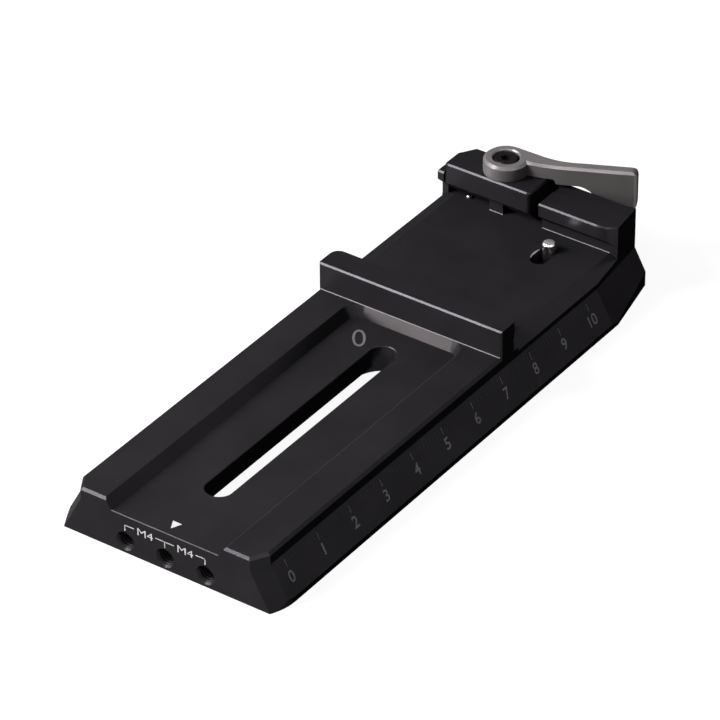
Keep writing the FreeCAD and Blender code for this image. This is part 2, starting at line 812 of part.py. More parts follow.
def side_cutter(path):
    """Cut across the arm, given lines and arcs as lists of (along, height) points."""
    a = math.radians(arm_angle)
    edges = []
    for pts in path:
        vec = []
        for along, z in pts:
            x, y = arm_point(along, -half)
            vec.append(V(x, y, z))
        if len(vec) == 2:
            edges.append(Part.LineSegment(vec[0], vec[1]).toShape())
        else:
            edges.append(Part.Arc(vec[0], vec[1], vec[2]).toShape())
    face = Part.Face(Part.Wire(edges))
    return face.extrude(V(-plate_width * math.sin(a), plate_width * math.cos(a), 0))


def arch_cutter():
    """Everything under the arm: a straight underside, the arch, and the paddle's lower corner."""
    deep = paddle_foot - 1
    start = -2 * hub_radius
    step = arm_step + arm_step_run
    foot = arch_start + arch_run
    lead = paddle_lead
    r = paddle_corner
    k = bow(r)
    past = paddle_end + overrun
    crown = (arch_start + 0.68 * arch_run, arm_under - 0.35 * arch_run)
    path = [
        [(start, deep), (start, hub_low)],
        [(start, hub_low), (arm_step, hub_low)],
        [(arm_step, hub_low), (step, arm_under)],
        [(step, arm_under), (arch_start, arm_under)],
        [(arch_start, arm_under), crown, (foot, paddle_foot + lead)],
        [(foot, paddle_foot + lead), (foot + lead, paddle_foot)],
        [(foot + lead, paddle_foot), (paddle_end - r, paddle_foot)],
        [(paddle_end - r, paddle_foot), (paddle_end - k, paddle_foot + k),
         (paddle_end, paddle_foot + r)],
        [(paddle_end, paddle_foot + r), (past, paddle_foot + r)],
        [(past, paddle_foot + r), (past, deep)],
        [(past, deep), (start, deep)],
    ]
    return side_cutter(path)


def tip_cutter():
    """The space beyond the paddle's rounded upper corner."""
    r = paddle_tip
    k = bow(r)
    past = paddle_end + overrun
    path = [
        [(paddle_end - r, hub_top + 1), (paddle_end - r, hub_top)],
        [(paddle_end - r, hub_top), (paddle_end - k, hub_top - k), (paddle_end, hub_top - r)],
        [(paddle_end, hub_top - r), (past, hub_top - r)],
        [(past, hub_top - r), (past, hub_top + 1)],
        [(past, hub_top + 1), (paddle_end - r, hub_top + 1)],
    ]
    return side_cutter(path)


def lever_screw():
    top = screw_seat + lever_screw_head_height
    head = post(lever_screw_head_radius, lever_x, lever_y, screw_seat, top)
    head = chamfer_where(head, 0.25, lambda b: b.ZMin > top - 0.01)
    head = head.cut(hexagon(lever_screw_hex, lever_x, lever_y, top - lever_screw_hex_depth, top + 1))
    shank = post(lever_screw_thread / 2 - thread_play, lever_x, lever_y,
                 screw_seat - lever_screw_length, screw_seat)
    return head.fuse(shank)


def thrust_washer():
    ring = post(washer_radius, lever_x, lever_y, jaw_top, hub_low)
    return ring.cut(post(journal_radius + washer_clearance, lever_x, lever_y, jaw_top - 1, hub_low + 1))


def guide_pin(x):
    front = pin_back - pin_length
    pin = rod(pin_radius, x, pin_z, front, pin_back)
    return chamfer_where(pin, 0.25, lambda b: b.YMax < front + 0.01)


def safety_pin():
    top = rail_top + safety_proud
    pin = post(safety_radius, safety_x, safety_y, collar_top, top)
    pin = chamfer_where(pin, 0.25, lambda b: b.ZMin > top - 0.01)
    pin = pin.fuse(post(safety_collar_radius, safety_x, safety_y, collar_low, collar_top))
    return pin.fuse(post(safety_nose_radius, safety_x, safety_y, collar_low - safety_nose, collar_low))


def pin_spring():
    low = cover_play + cover_thick
    return coil(pin_spring_mean, pin_spring_wire, pin_spring_turns, collar_low - low,
                (safety_x, safety_y, low), (0, 0, 1))


def jaw_spring(x):
    return coil(spring_mean, spring_wire, spring_turns, spring_length,
                (x, spring_seat, pin_z), (0, 1, 0))


def pin_cover():
    long = cover_length / 2
    plate = stadium(cover_half, safety_x, safety_y - long, safety_y + long,
                    cover_play, cover_play + cover_thick)
    hole = cover_screw_thread / 2 + 0.15
    for side in (-1, 1):
        y = safety_y + side * cover_screw_pitch / 2
        plate = plate.cut(post(hole, safety_x, y, -1, cover_play + cover_thick + 1))
        plate = plate.cut(cone(cover_screw_head + 0.15, hole, safety_x, y,
                               cover_play, cover_play + cover_screw_sink))
    return plate


def cover_screw(side):
    y = safety_y + side * cover_screw_pitch / 2
    shank = cover_screw_thread / 2 - thread_play
    low = cover_play + 0.05
    head = cone(cover_screw_head, shank, safety_x, y, low, low + cover_screw_sink)
    body = post(shank, safety_x, y, cover_play + cover_screw_sink, cover_play + cover_screw_length)
    return head.fuse(body).cut(hexagon(cover_screw_hex, safety_x, y, 0, low + 0.6))


def stop_dowel():
    dowel = post(dowel_radius, dowel_x, dowel_y, dowel_foot, dowel_top)
    return chamfer_where(dowel, 0.15, lambda b: b.ZMin > dowel_top - 0.01)


os.makedirs("parts", exist_ok=True)
save("base_plate", base_plate())
save("movable_jaw", movable_jaw())
save("cam_lever", cam_lever())
save("eccentric_shaft", eccentric_shaft())
save("lever_screw", lever_screw())
save("thrust_washer", thrust_washer())
for place, x in pin_places.items():
    save("guide_pin_" + place, guide_pin(x))
    save("jaw_spring_" + place, jaw_spring(x))
save("stop_dowel", stop_dowel())
save("safety_pin", safety_pin())
save("pin_spring", pin_spring())
save("pin_cover", pin_cover())
save("cover_screw_front", cover_screw(-1))
save("cover_screw_rear", cover_screw(1))
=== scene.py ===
import math

import bmesh
import bpy
from mathutils import Matrix, Vector


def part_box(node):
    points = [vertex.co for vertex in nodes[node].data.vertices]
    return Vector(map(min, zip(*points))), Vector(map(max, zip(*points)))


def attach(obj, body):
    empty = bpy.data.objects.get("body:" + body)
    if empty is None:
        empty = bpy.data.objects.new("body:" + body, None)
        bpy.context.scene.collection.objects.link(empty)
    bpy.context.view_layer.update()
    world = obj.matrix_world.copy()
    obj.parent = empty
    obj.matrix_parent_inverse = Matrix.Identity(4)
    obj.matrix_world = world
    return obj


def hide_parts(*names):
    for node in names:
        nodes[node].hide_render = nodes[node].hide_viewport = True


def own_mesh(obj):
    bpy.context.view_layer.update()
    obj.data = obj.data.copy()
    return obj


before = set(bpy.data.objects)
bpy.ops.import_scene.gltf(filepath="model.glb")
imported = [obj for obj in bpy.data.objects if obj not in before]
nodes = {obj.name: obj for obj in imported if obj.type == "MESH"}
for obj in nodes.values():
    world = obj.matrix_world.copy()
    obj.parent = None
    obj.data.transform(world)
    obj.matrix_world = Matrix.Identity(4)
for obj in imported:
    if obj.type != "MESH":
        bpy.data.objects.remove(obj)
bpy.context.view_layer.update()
MM = 0.001

# All sizes below are in millimetres unless a comment says otherwise

# Share of a rounded corner's radius that its middle stands in from the square corner
CORNER = 1 - math.sqrt(0.5)

# Plate faces that the drawn marks lie on
RAIL_TOP = 10.6
RECESS_FLOOR = 8.4
FLANK_TOP = Vector((21.2, 0, 8.05))
FLANK_FOOT = Vector((25.0, 0, 1.2))
MARK_LIFT = 0.012

# Ruler: places on the flank are shares of its slope, from the top edge down
RULER_ZERO = 7.04
RULER_LENGTH = 100
TICK_START = 0.126
TICK_END_CENTIMETRE = 0.304
TICK_END_HALF = 0.262
TICK_END_MILLIMETRE = 0.228
TICK_WIDTH = 0.12
NUMBER_PLACE = 0.555
NUMBER_HEIGHT = 2.35
NUMBER_BOLD = 0.03

# Front threads and the brackets above them
THREAD_SPACING = 9.1
THREAD_Z = 2.6
THREAD_PITCH = 0.7
THREAD_TURNS = 9
THREAD_OUTER = 1.66
THREAD_INNER = 1.42
THREAD_START = 0.25
BRACKET_LOW = 5.1
BRACKET_TOP = 6.3
BRACKET_REACH = 2.0
BRACKET_WIDTH = 0.2
SIZE_MARK_Z = 6.1
SIZE_MARK_WIDTH = 3.55
SIZE_MARK_HEIGHT = 1.6
SIZE_MARK_SHIFT = 0.1

# Marks on the recess floor, and the painted highlight along the right rail
ARROW = ((0.15, 1.7, 0), (1.15, 3.85, 0), (-0.9, 3.85, 0))
ZERO_PLACE = (-6.85, 71.2, RECESS_FLOOR)
ZERO_TURN = math.radians(35.2)
ZERO_WIDTH = 2.6
ZERO_HEIGHT = 5.7
ZERO_BOLD = -0.05
RAIL_EDGE_X = 13.62
RAIL_LINE = ((0, 0.6), (0, 74.0))
RAIL_LINE_WIDTH = 0.15

# Lever: its turning axis, the way it points, and its heights
LEVER_AXIS = (-8.0, 123.5)
LEVER_ANGLE = math.radians(26.0)
HUB_LOW = 18.85
LEVER_TOP = 21.83
HUB_RADIUS = 4.6
SCREW_SEAT = 19.85

# Camera, fitted to the photograph: azimuth, elevation and roll in degrees
CAMERA_ANGLES = (35.181, 34.641, -0.277)
CAMERA_TARGET = (-5.282, 69.293, 5.0)
CAMERA_DISTANCE = 968.558
FOCAL_PIXELS = 5062.838
PICTURE_PIXELS = 720
SENSOR_WIDTH = 36

# Lamps: name, direction, distance, size, watts, colour and target, in metres
WHITE = (1.0, 1.0, 1.0)
MIDDLE = (0, 0.065, 0.008)
LAMPS = (
    ("left", (-0.8, -0.48, 0.33), 0.35, 0.25, 1.9, WHITE, (0, 0.08, 0.01)),
    ("near", (-0.6, -0.35, 0.72), 0.27, 0.14, 1.15, WHITE, (-0.005, 0.02, 0.01)),
    ("key", (-0.474, -0.568, 0.672), 1.8, 0.3, 12, WHITE, MIDDLE),
    ("low", (-0.474, -0.871, 0.12), 1.8, 0.3, 8, (1.0, 0.97, 0.87), MIDDLE),
    ("crest", (0.131, -0.569, 0.812), 1.8, 0.35, 3, WHITE, MIDDLE),
    ("right", (0.62, -0.08, 0.77), 0.9, 0.3, 0.7, WHITE, MIDDLE),
)

# Floor and surroundings
FLOOR_REACH = 3000
FLOOR_HEIGHT = -0.02
FLOOR_GREY = 0.12
FLOOR_SHINE = 0.93
WORLD_DIM = 0.08
WORLD_BRIGHT = 1.0


# Materials

def new_material(name):
    m = bpy.data.materials.new(name)
    m.use_nodes = True
    tree = m.node_tree
    for n in list(tree.nodes):
        tree.nodes.remove(n)
    out = tree.nodes.new("ShaderNodeOutputMaterial")
    shader = tree.nodes.new("ShaderNodeBsdfPrincipled")
    tree.links.new(shader.outputs[0], out.inputs[0])
    return m, tree, shader


def add(tree, kind, **values):
    """A new shader node, with these values on its inputs or its settings."""
    n = tree.nodes.new(kind)
    for key, value in values.items():
        if isinstance(value, (int, float, tuple)) and key in n.inputs:
            n.inputs[key].default_value = value
        else:
            setattr(n, key, value)
    return n


def noise(tree, scale, detail, coords, stretch=None):
    n = add(tree, "ShaderNodeTexNoise", Scale=scale, Detail=detail)
    source = coords
    if stretch:
        m = add(tree, "ShaderNodeMapping")
        m.inputs["Scale"].default_value = stretch
        tree.links.new(coords, m.inputs["Vector"])
        source = m.outputs[0]
    tree.links.new(source, n.inputs["Vector"])
    return n.outputs["Fac"]


def ramp(tree, fac, low, high, a, b):
    r = add(tree, "ShaderNodeValToRGB")
    r.color_ramp.elements[0].position = a
    r.color_ramp.elements[0].color = (*low, 1)
    r.color_ramp.elements[1].position = b
    r.color_ramp.elements[1].color = (*high, 1)
    tree.links.new(fac, r.inputs[0])
    return r.outputs[0]


def span(tree, fac, low, high):
    r = add(tree, "ShaderNodeMapRange")
    r.inputs["To Min"].default_value = low
    r.inputs["To Max"].default_value = high
    tree.links.new(fac, r.inputs[0])
    return r.outputs[0]


CLOUD_SCALE = 90
BUMP_DISTANCE = 0.00003


def metal(name, low, high, rough, grain, bump, metallic=1.0, stretch=None, spec=0.5, edge=1.0):
    """Cloudy colour, uneven roughness and a fine grain of the given size in millimetres.

    The edge tint is dark on the anodised surfaces, whose glancing shine is weak."""
    m, tree, shader = new_material(name)
    coords = add(tree, "ShaderNodeTexCoord").outputs["Object"]
    cloud = noise(tree, CLOUD_SCALE, 4, coords, stretch)
    fine = noise(tree, 1000 / grain, 2, coords, stretch)
    tree.links.new(ramp(tree, cloud, low, high, 0.3, 0.7), shader.inputs["Base Color"])
    tree.links.new(span(tree, fine, rough[0], rough[1]), shader.inputs["Roughness"])
    b = add(tree, "ShaderNodeBump", Strength=bump, Distance=BUMP_DISTANCE)
    tree.links.new(fine, b.inputs["Height"])
    tree.links.new(b.outputs[0], shader.inputs["Normal"])
    shader.inputs["Metallic"].default_value = metallic
    shader.inputs["Specular IOR Level"].default_value = spec
    shader.inputs["Specular Tint"].default_value = (edge, edge, edge, 1)
    return m


ANODISED = {"metallic": 0.5, "spec": 0.0, "edge": 0.0}
PRINTED = {"metallic": 0.0, "spec": 0.0}

black = metal("AnodisedBlack", (0.0205, 0.0190, 0.0212), (0.0255, 0.0237, 0.0262),
              (0.2, 0.26), 0.22, 0.4, **ANODISED)
lever_grey = metal("LeverGrey", (0.143, 0.132, 0.134), (0.168, 0.156, 0.159),
                   (0.22, 0.29), 0.18, 0.3, **ANODISED)
steel = metal("GroundSteel", (0.55, 0.54, 0.52), (0.72, 0.71, 0.69),
              (0.18, 0.3), 0.25, 0.25, stretch=(0.3, 0.3, 3.0))
spring_steel = metal("SpringSteel", (0.42, 0.42, 0.42), (0.55, 0.55, 0.56),
                     (0.25, 0.35), 0.3, 0.2)
# Black screw colour; on the front threads it is also painted shade that darkens the holes
screw_black_and_hole_shade = metal("BlackScrewAndHoleShade", (0.012, 0.012, 0.013), (0.024, 0.023, 0.023),
                    (0.3, 0.42), 0.15, 0.3, **ANODISED)
washer_dark = metal("WasherPlastic", (0.02, 0.02, 0.02), (0.035, 0.035, 0.035),
                    (0.45, 0.6), 0.2, 0.2, metallic=0.0, spec=0.2)
cover_black = metal("CoverBlack", (0.02, 0.02, 0.022), (0.03, 0.03, 0.032),
                    (0.42, 0.55), 0.22, 0.4, **ANODISED)
ruler_mark = metal("RulerMark", (0.23, 0.23, 0.232), (0.31, 0.31, 0.312),
                   (0.5, 0.65), 0.15, 0.2, **PRINTED)
tick_mark = metal("TickMark", (0.055, 0.055, 0.056), (0.085, 0.085, 0.086),
                  (0.5, 0.65), 0.15, 0.2, **PRINTED)
front_mark = metal("FrontMark", (0.36, 0.36, 0.36), (0.5, 0.5, 0.5),
                   (0.5, 0.65), 0.15, 0.2, **PRINTED)
# Painted highlight: the lighter colour of the strip along the right rail's inner edge
painted_rail_highlight = metal("PaintedRailHighlight", (0.036, 0.034, 0.037), (0.046, 0.043, 0.047),
                  (0.3, 0.4), 0.2, 0.3, **ANODISED)
# Painted highlight: the light colour of the thin sheet on the pin slot's bevel
painted_slot_highlight = metal("PaintedSlotHighlight", (0.22, 0.22, 0.222), (0.3, 0.3, 0.302),
                   (0.3, 0.4), 0.2, 0.3, metallic=0.3, spec=0.0, edge=0.5)
floor_mark = metal("FloorMark", (0.075, 0.075, 0.077), (0.115, 0.115, 0.118),
                   (0.5, 0.65), 0.15, 0.2, **PRINTED)

finish_of = {
    "base_plate": black, "movable_jaw": black, "pin_cover": cover_black,
    "cam_lever": lever_grey, "eccentric_shaft": steel, "guide_pin_left": steel,
    "guide_pin_right": steel, "stop_dowel": steel, "safety_pin": steel,
    "jaw_spring_left": spring_steel, "jaw_spring_right": spring_steel,
    "pin_spring": spring_steel, "lever_screw": screw_black_and_hole_shade, "cover_screw_front": screw_black_and_hole_shade,
    "cover_screw_rear": screw_black_and_hole_shade, "thrust_washer": washer_dark,
}
for name, obj in nodes.items():
    obj.data.materials.clear()
    obj.data.materials.append(finish_of[name])


# Mesh helpers

def to_mesh(name, bm):
    mesh = bpy.data.meshes.new(name)
    bm.to_mesh(mesh)
    bm.free()
    return mesh


def place(mesh, name, material, body="plate"):
    """Put a mesh in the scene as a piece that moves with this body."""
    obj = bpy.data.objects.new(name, mesh)
    bpy.context.scene.collection.objects.link(obj)
    obj.data.materials.clear()
    obj.data.materials.append(material)
    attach(obj, body)
    return obj


def quad_mesh(name, quads):
    """One mesh of separate flat quads, each given as four corners in millimetres."""
    bm = bmesh.new()
    for q in quads:
        bm.faces.new([bm.verts.new(Vector(p) * MM) for p in q])
    return to_mesh(name, bm)


def arc_through(a, b, c, steps):
    """Points on the arc from a through b to c, without a."""
    (ax, ay), (bx, by), (cx, cy) = a, b, c
    d = 2 * (ax * (by - cy) + bx * (cy - ay) + cx * (ay - by))
    aa, bb, cc = ax * ax + ay * ay, bx * bx + by * by, cx * cx + cy * cy
    ux = (aa * (by - cy) + bb * (cy - ay) + cc * (ay - by)) / d
    uy = (aa * (cx - bx) + bb * (ax - cx) + cc * (bx - ax)) / d
    r = math.hypot(ax - ux, ay - uy)
    start, middle, end = (math.atan2(y - uy, x - ux) for x, y in (a, b, c))
    sweep = (end - start) % (2 * math.pi)
    if (middle - start) % (2 * math.pi) > sweep:
        sweep -= 2 * math.pi
    turns = [start + sweep * k / steps for k in range(1, steps + 1)]
    return [(ux + r * math.cos(t), uy + r * math.sin(t)) for t in turns]


def inset(outline, distances):
    """The outline, which turns left, moved inwards by a distance at each corner."""
    moved = []
    n = len(outline)
    for i, (x, y) in enumerate(outline):
        before = Vector(outline[i]) - Vector(outline[i - 1])
        after = Vector(outline[(i + 1) % n]) - Vector(outline[i])
        a = Vector((-before.y, before.x)).normalized()
        b = Vector((-after.y, after.x)).normalized()
        m = (a + b) / max(1 + a.dot(b), 0.3)
        moved.append((x + m.x * distances[i], y + m.y * distances[i]))
    return moved


def loft(name, loops):
    """A closed mesh through loops of points with as many points each."""
    bm = bmesh.new()
    rows = [[bm.verts.new(Vector(p) * MM) for p in loop] for loop in loops]
    for a, b in zip(rows, rows[1:]):
        for i in range(len(a)):
            j = (i + 1) % len(a)
            bm.faces.new((a[i], a[j], b[j], b[i]))
    bm.faces.new(rows[0])
    bm.faces.new(rows[-1])
    bmesh.ops.recalc_face_normals(bm, faces=bm.faces)
    return to_mesh(name, bm)


def turned(name, profile, centre, steps=72):
    """A mesh turned about the vertical line through centre, from (radius, z) points."""
    loops = []
    for r, z in profile:
        angles = [2 * math.pi * k / steps for k in range(steps)]
        loops.append([(centre[0] + r * math.cos(t), centre[1] + r * math.sin(t), z)
                      for t in angles])
    return loft(name, loops)


def combine(mesh, tool, operation):
    """The two meshes joined by one boolean operation, as a new mesh."""
    a = bpy.data.objects.new("combine_a", mesh)
    b = bpy.data.objects.new("combine_b", tool)
    for o in (a, b):
        bpy.context.scene.collection.objects.link(o)
    step = a.modifiers.new("cut", "BOOLEAN")
    step.operation = operation
    step.solver = "EXACT"
    step.object = b
    bpy.context.view_layer.update()
    depsgraph = bpy.context.evaluated_depsgraph_get()
    result = bpy.data.meshes.new_from_object(a.evaluated_get(depsgraph))
    bpy.data.objects.remove(a)
    bpy.data.objects.remove(b)
    return result


def smooth(mesh, degrees=28):
    for p in mesh.polygons:
        p.use_smooth = True
    mesh.set_sharp_from_angle(angle=math.radians(degrees))
    return mesh


# Drawn marks

def surface_frame(origin, along, up):
    """A matrix that lays flat things on a surface, a hair proud of it."""
    x = Vector(along).normalized()
    y = Vector(up).normalized()
    z = x.cross(y)
    m = Matrix((x, y, z)).transposed().to_4x4()
    m.translation = (Vector(origin) + z * MARK_LIFT) * MM
    return m


def strokes(m, lines, width):
    """Quads for straight strokes given in the surface's own millimetres."""
    quads = []
    for a, b in lines:
        a = Vector((a[0], a[1], 0))
        b = Vector((b[0], b[1], 0))
        d = (b - a).normalized()
        n = Vector((-d.y, d.x, 0)) * width / 2
        e = d * width / 2
        corners = [a - e - n, b + e - n, b + e + n, a - e + n]
        quads.append([tuple((m @ (c * MM)) / MM) for c in corners])
    return quads


def lettering(text, m, width, height, name, material, bold=0.0):
    """A short word or number, centred, laid on a surface in a box of this size."""
    curve = bpy.data.curves.new(name, "FONT")
    curve.body = text
    curve.size = height * MM
    curve.align_x = "CENTER"
    curve.align_y = "CENTER"
    curve.offset = bold * MM
    curve.resolution_u = 4
    temp = bpy.data.objects.new(name + "_text", curve)
    bpy.context.scene.collection.objects.link(temp)
    bpy.context.view_layer.update()
    depsgraph = bpy.context.evaluated_depsgraph_get()
    mesh = bpy.data.meshes.new_from_object(temp.evaluated_get(depsgraph))
    bpy.data.objects.remove(temp)
    xs = [v.co.x for v in mesh.vertices]
    ys = [v.co.y for v in mesh.vertices]
    sy = height * MM / (max(ys) - min(ys))
    sx = width * MM / (max(xs) - min(xs)) if width else sy
    mesh.transform(Matrix.Translation((-(max(xs) + min(xs)) / 2, -(max(ys) + min(ys)) / 2, 0)))
    mesh.transform(Matrix.Diagonal((sx, sy, 1, 1)))
    mesh.transform(m)
    return place(mesh, name, material)


def flank(fraction, y):
    p = FLANK_TOP.lerp(FLANK_FOOT, fraction)
    return Vector((p.x, y, p.z))


slope_up = FLANK_TOP - FLANK_FOOT
slope_len = slope_up.length
ticks = {"long": [], "short": []}
for i in range(RULER_LENGTH + 1):
    if i % 10 == 0:
        kind, end = "long", TICK_END_CENTIMETRE
    elif i % 5 == 0:
        kind, end = "short", TICK_END_HALF
    else:
        kind, end = "short", TICK_END_MILLIMETRE
    m = surface_frame(flank(TICK_START, RULER_ZERO + i), (0, 1, 0), slope_up)
    ticks[kind] += strokes(m, [((0, 0), (0, -(end - TICK_START) * slope_len))], TICK_WIDTH)
for kind, material in (("long", ruler_mark), ("short", tick_mark)):
    name = "ruler_ticks_" + kind
    place(quad_mesh(name, ticks[kind]), name, material)
for i in range(RULER_LENGTH // 10 + 1):
    m = surface_frame(flank(NUMBER_PLACE, RULER_ZERO + 10 * i), (0, 1, 0), slope_up)
    lettering(str(i), m, None, NUMBER_HEIGHT, "ruler_number_%d" % i, ruler_mark,
              bold=NUMBER_BOLD)

# Thread size marks between the front threads: brackets down to each mouth
front = surface_frame((0, 0, 0), (1, 0, 0), (0, 0, 1))
lines = [((-BRACKET_REACH, BRACKET_TOP), (BRACKET_REACH, BRACKET_TOP)),
         ((0.0, BRACKET_LOW), (0.0, BRACKET_TOP))]
for side in (-1, 1):
    a = side * THREAD_SPACING
    lines += [((a, BRACKET_LOW), (a, BRACKET_TOP)),
              ((a, BRACKET_TOP), (a - side * BRACKET_REACH, BRACKET_TOP))]
place(quad_mesh("front_brackets", strokes(front, lines, BRACKET_WIDTH)), "front_brackets",
      front_mark)
for side, name in ((-1, "left"), (1, "right")):
    m = surface_frame((side * THREAD_SPACING / 2 + SIZE_MARK_SHIFT, 0, SIZE_MARK_Z),
                      (1, 0, 0), (0, 0, 1))
    lettering("M4", m, SIZE_MARK_WIDTH, SIZE_MARK_HEIGHT, "front_size_" + name, front_mark)

# Arrow and zero on the recess floor
floor = surface_frame((0, 0, RECESS_FLOOR), (1, 0, 0), (0, 1, 0))
bm = bmesh.new()
bm.faces.new([bm.verts.new(floor @ (Vector(p) * MM)) for p in ARROW])
place(to_mesh("floor_arrow", bm), "floor_arrow", front_mark)
zero = surface_frame(ZERO_PLACE, (math.cos(ZERO_TURN), math.sin(ZERO_TURN), 0),
                     (-math.sin(ZERO_TURN), math.cos(ZERO_TURN), 0))
lettering("0", zero, ZERO_WIDTH, ZERO_HEIGHT, "floor_zero", floor_mark,
          bold=ZERO_BOLD)

# The thin line of light along the right rail's inner edge: a painted highlight, a strip of
# lighter colour laid on the rail top
rail = surface_frame((RAIL_EDGE_X, 0, RAIL_TOP), (1, 0, 0), (0, 1, 0))
place(quad_mesh("rail_edge_painted_highlight", strokes(rail, [RAIL_LINE], RAIL_LINE_WIDTH)),
      "rail_edge_painted_highlight", painted_rail_highlight)


# Screw threads in the three front holes

def thread(name, centre, pitch, turns, outer, inner):
    """A helical ridge inside a bore that runs along +Y."""
    steps = 28
    root, crest = 0.3, 0.04
    bm = bmesh.new()
    rows = []
    for i in range(int(turns * steps) + 1):
        a = 2 * math.pi * i / steps
        y = THREAD_START + pitch * i / steps
        row = []
        for r, dy in ((outer, -root), (inner, -crest), (inner, crest), (outer, root)):
            p = Vector((centre[0] + r * math.cos(a), y + dy * pitch,
                        centre[2] + r * math.sin(a)))
            row.append(bm.verts.new(p * MM))
        rows.append(row)
    for a, b in zip(rows, rows[1:]):
        for j in range(3):
            bm.faces.new((a[j], a[j + 1], b[j + 1], b[j]))
    mesh = to_mesh(name, bm)
    for p in mesh.polygons:
        p.use_smooth = True
    return mesh


# The threads take the darker black-screw colour rather than the plate's, as painted shade
# inside the holes
for i, place_name in ((-1, "left"), (0, "middle"), (1, "right")):
    mesh = thread("front_thread", (i * THREAD_SPACING, 0, THREAD_Z), THREAD_PITCH,
                  THREAD_TURNS, THREAD_OUTER, THREAD_INNER)
    place(mesh, "front_thread_" + place_name, screw_black_and_hole_shade)


# Lever and its screw

def on_arm(along, across, z):
    """A point from its place along the arm, across it and its height."""
    c, s = math.cos(LEVER_ANGLE), math.sin(LEVER_ANGLE)
    return (LEVER_AXIS[0] + along * c - across * s, LEVER_AXIS[1] + along * s + across * c, z)


def lever_outline():
    """The lever seen from above, and how far each corner's top edge is chamfered."""
    front, back, end, tip = -2.44, 0.18, 26.3, 0.8
    hub_start, hub_sweep, hub_steps = 64, 276, 55
    front_bend, front_join = (8.1, -2.2), (12.0, front)
    back_join, back_bend, hub_join = (15.0, back), (10.8, 0.42), (6.78, 1.78)
    paddle = 21.0
    hub_edge, arm_edge = 0.58, 0.45
    turns = [math.radians(hub_start + hub_sweep * k / hub_steps) for k in range(hub_steps + 1)]
    outline = [(HUB_RADIUS * math.cos(t), HUB_RADIUS * math.sin(t)) for t in turns]
    edges = [hub_edge] * len(outline)
    k = tip * CORNER
    outline += arc_through(outline[-1], front_bend, front_join, 14)
    outline += [(16.0, front), (paddle, front), (end - tip, front)]
    outline += arc_through((end - tip, front), (end - k, front + k), (end, front + tip), 6)
    outline += [(end, back - tip)]
    outline += arc_through((end, back - tip), (end - k, back - k), (end - tip, back), 6)
    outline += [(paddle, back), back_join]
    outline += arc_through(back_join, back_bend, hub_join, 14)
    edges += [arm_edge] * (len(outline) - len(edges))
    return outline, edges, end


def lever_mesh():
    outline, edges, end = lever_outline()
    body = loft("cam_lever_body", [
        [on_arm(s, c, 11.0) for s, c in outline],
        [on_arm(s, c, LEVER_TOP - 0.5) for s, c in outline],
        [on_arm(s, c, LEVER_TOP) for s, c in inset(outline, edges)],
    ])
    # Side view: the arm's underside, the paddle's foot and its rounded end
    under, foot, arch, run, low, high = 17.8, 12.6, 14.6, 4.2, 2.2, 1.5
    inner_end, over = -6.0, LEVER_TOP + 1
    side = [(inner_end, HUB_LOW), (9.7, HUB_LOW), (10.2, under), (arch, under)]
    side += arc_through((arch, under), (arch + 0.68 * run, under - 0.35 * run),
                        (arch + run, under - run), 12)
    side += [(arch + run + 0.4, foot), (end - low, foot)]
    side += arc_through((end - low, foot), (end - CORNER * low, foot + CORNER * low),
                        (end, foot + low), 8)
    side += [(end, LEVER_TOP - high)]
    side += arc_through((end, LEVER_TOP - high),
                        (end - CORNER * high, LEVER_TOP - CORNER * high),
                        (end - high, LEVER_TOP + 0.002), 8)
    side += [(end - high, over), (inner_end, over)]
    cutter = loft("cam_lever_side", [[on_arm(s, c, z) for s, z in side] for c in (-8, 8)])
    radius, rim = 2.7, 0.24
    pocket = turned("cam_lever_pocket", [
        (0.01, SCREW_SEAT), (radius, SCREW_SEAT), (radius, LEVER_TOP - rim),
        (radius + rim, LEVER_TOP), (radius + rim, over), (0.01, over),
    ], LEVER_AXIS)
    return smooth(combine(combine(body, cutter, "INTERSECT"), pocket, "DIFFERENCE"))


def screw_mesh():
    top = SCREW_SEAT + 1.72
    shank, shank_low, head = 1.15, 16.0, 2.5
    hex_half, hex_depth, hex_turn = 1.0, 1.0, 15
    body = turned("screw_head", [
        (0.01, shank_low), (shank, shank_low), (shank, SCREW_SEAT), (2.45, SCREW_SEAT),
        (head, SCREW_SEAT + 0.1), (head, top - 0.3), (2.22, top), (0.01, top),
    ], LEVER_AXIS)
    hexagon = []
    for z in (top - hex_depth, top + 1):
        turns = [math.radians(60 * k + hex_turn) for k in range(6)]
        r = hex_half / math.cos(math.radians(30))
        hexagon.append([(LEVER_AXIS[0] + r * math.cos(t), LEVER_AXIS[1] + r * math.sin(t), z)
                        for t in turns])
    return smooth(combine(body, loft("screw_hex", hexagon), "DIFFERENCE"))


lever = place(lever_mesh(), "lever_body", lever_grey, "lever")
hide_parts("cam_lever")
screw = place(screw_mesh(), "lever_hub_screw", screw_black_and_hole_shade, "lever")
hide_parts("lever_screw")


# Stop between the jaws, and the sliding jaw's heel behind its right end

def block_mesh(name, x0, x1, y0, y1, low, top):
    """An upright block with rounded left corners and a chamfered top."""
    radius, edge = 0.35, 0.2
    k = radius * CORNER
    outline = [(x1, y1), (x0 + radius, y1)]
    outline += arc_through((x0 + radius, y1), (x0 + k, y1 - k), (x0, y1 - radius), 5)
    outline += [(x0, y0 + radius)]
    outline += arc_through((x0, y0 + radius), (x0 + k, y0 + k), (x0 + radius, y0), 5)
    outline += [(x1, y0)]
    inner = inset(outline, [edge] * len(outline))
    return smooth(loft(name, [[(x, y, low) for x, y in outline],
                              [(x, y, top - edge) for x, y in outline],
                              [(x, y, top) for x, y in inner]]))


GAP_FRONT = 127.1
GAP_BACK = 128.4
place(block_mesh("jaw_gap_stop", 0.75, 2.7, GAP_FRONT, GAP_BACK, 10.4, 17.62),
      "jaw_gap_stop", black)
place(block_mesh("jaw_heel", -4.0, 0.6, GAP_FRONT, GAP_BACK, 13.4, 18.4),
      "jaw_heel", black, "jaw")
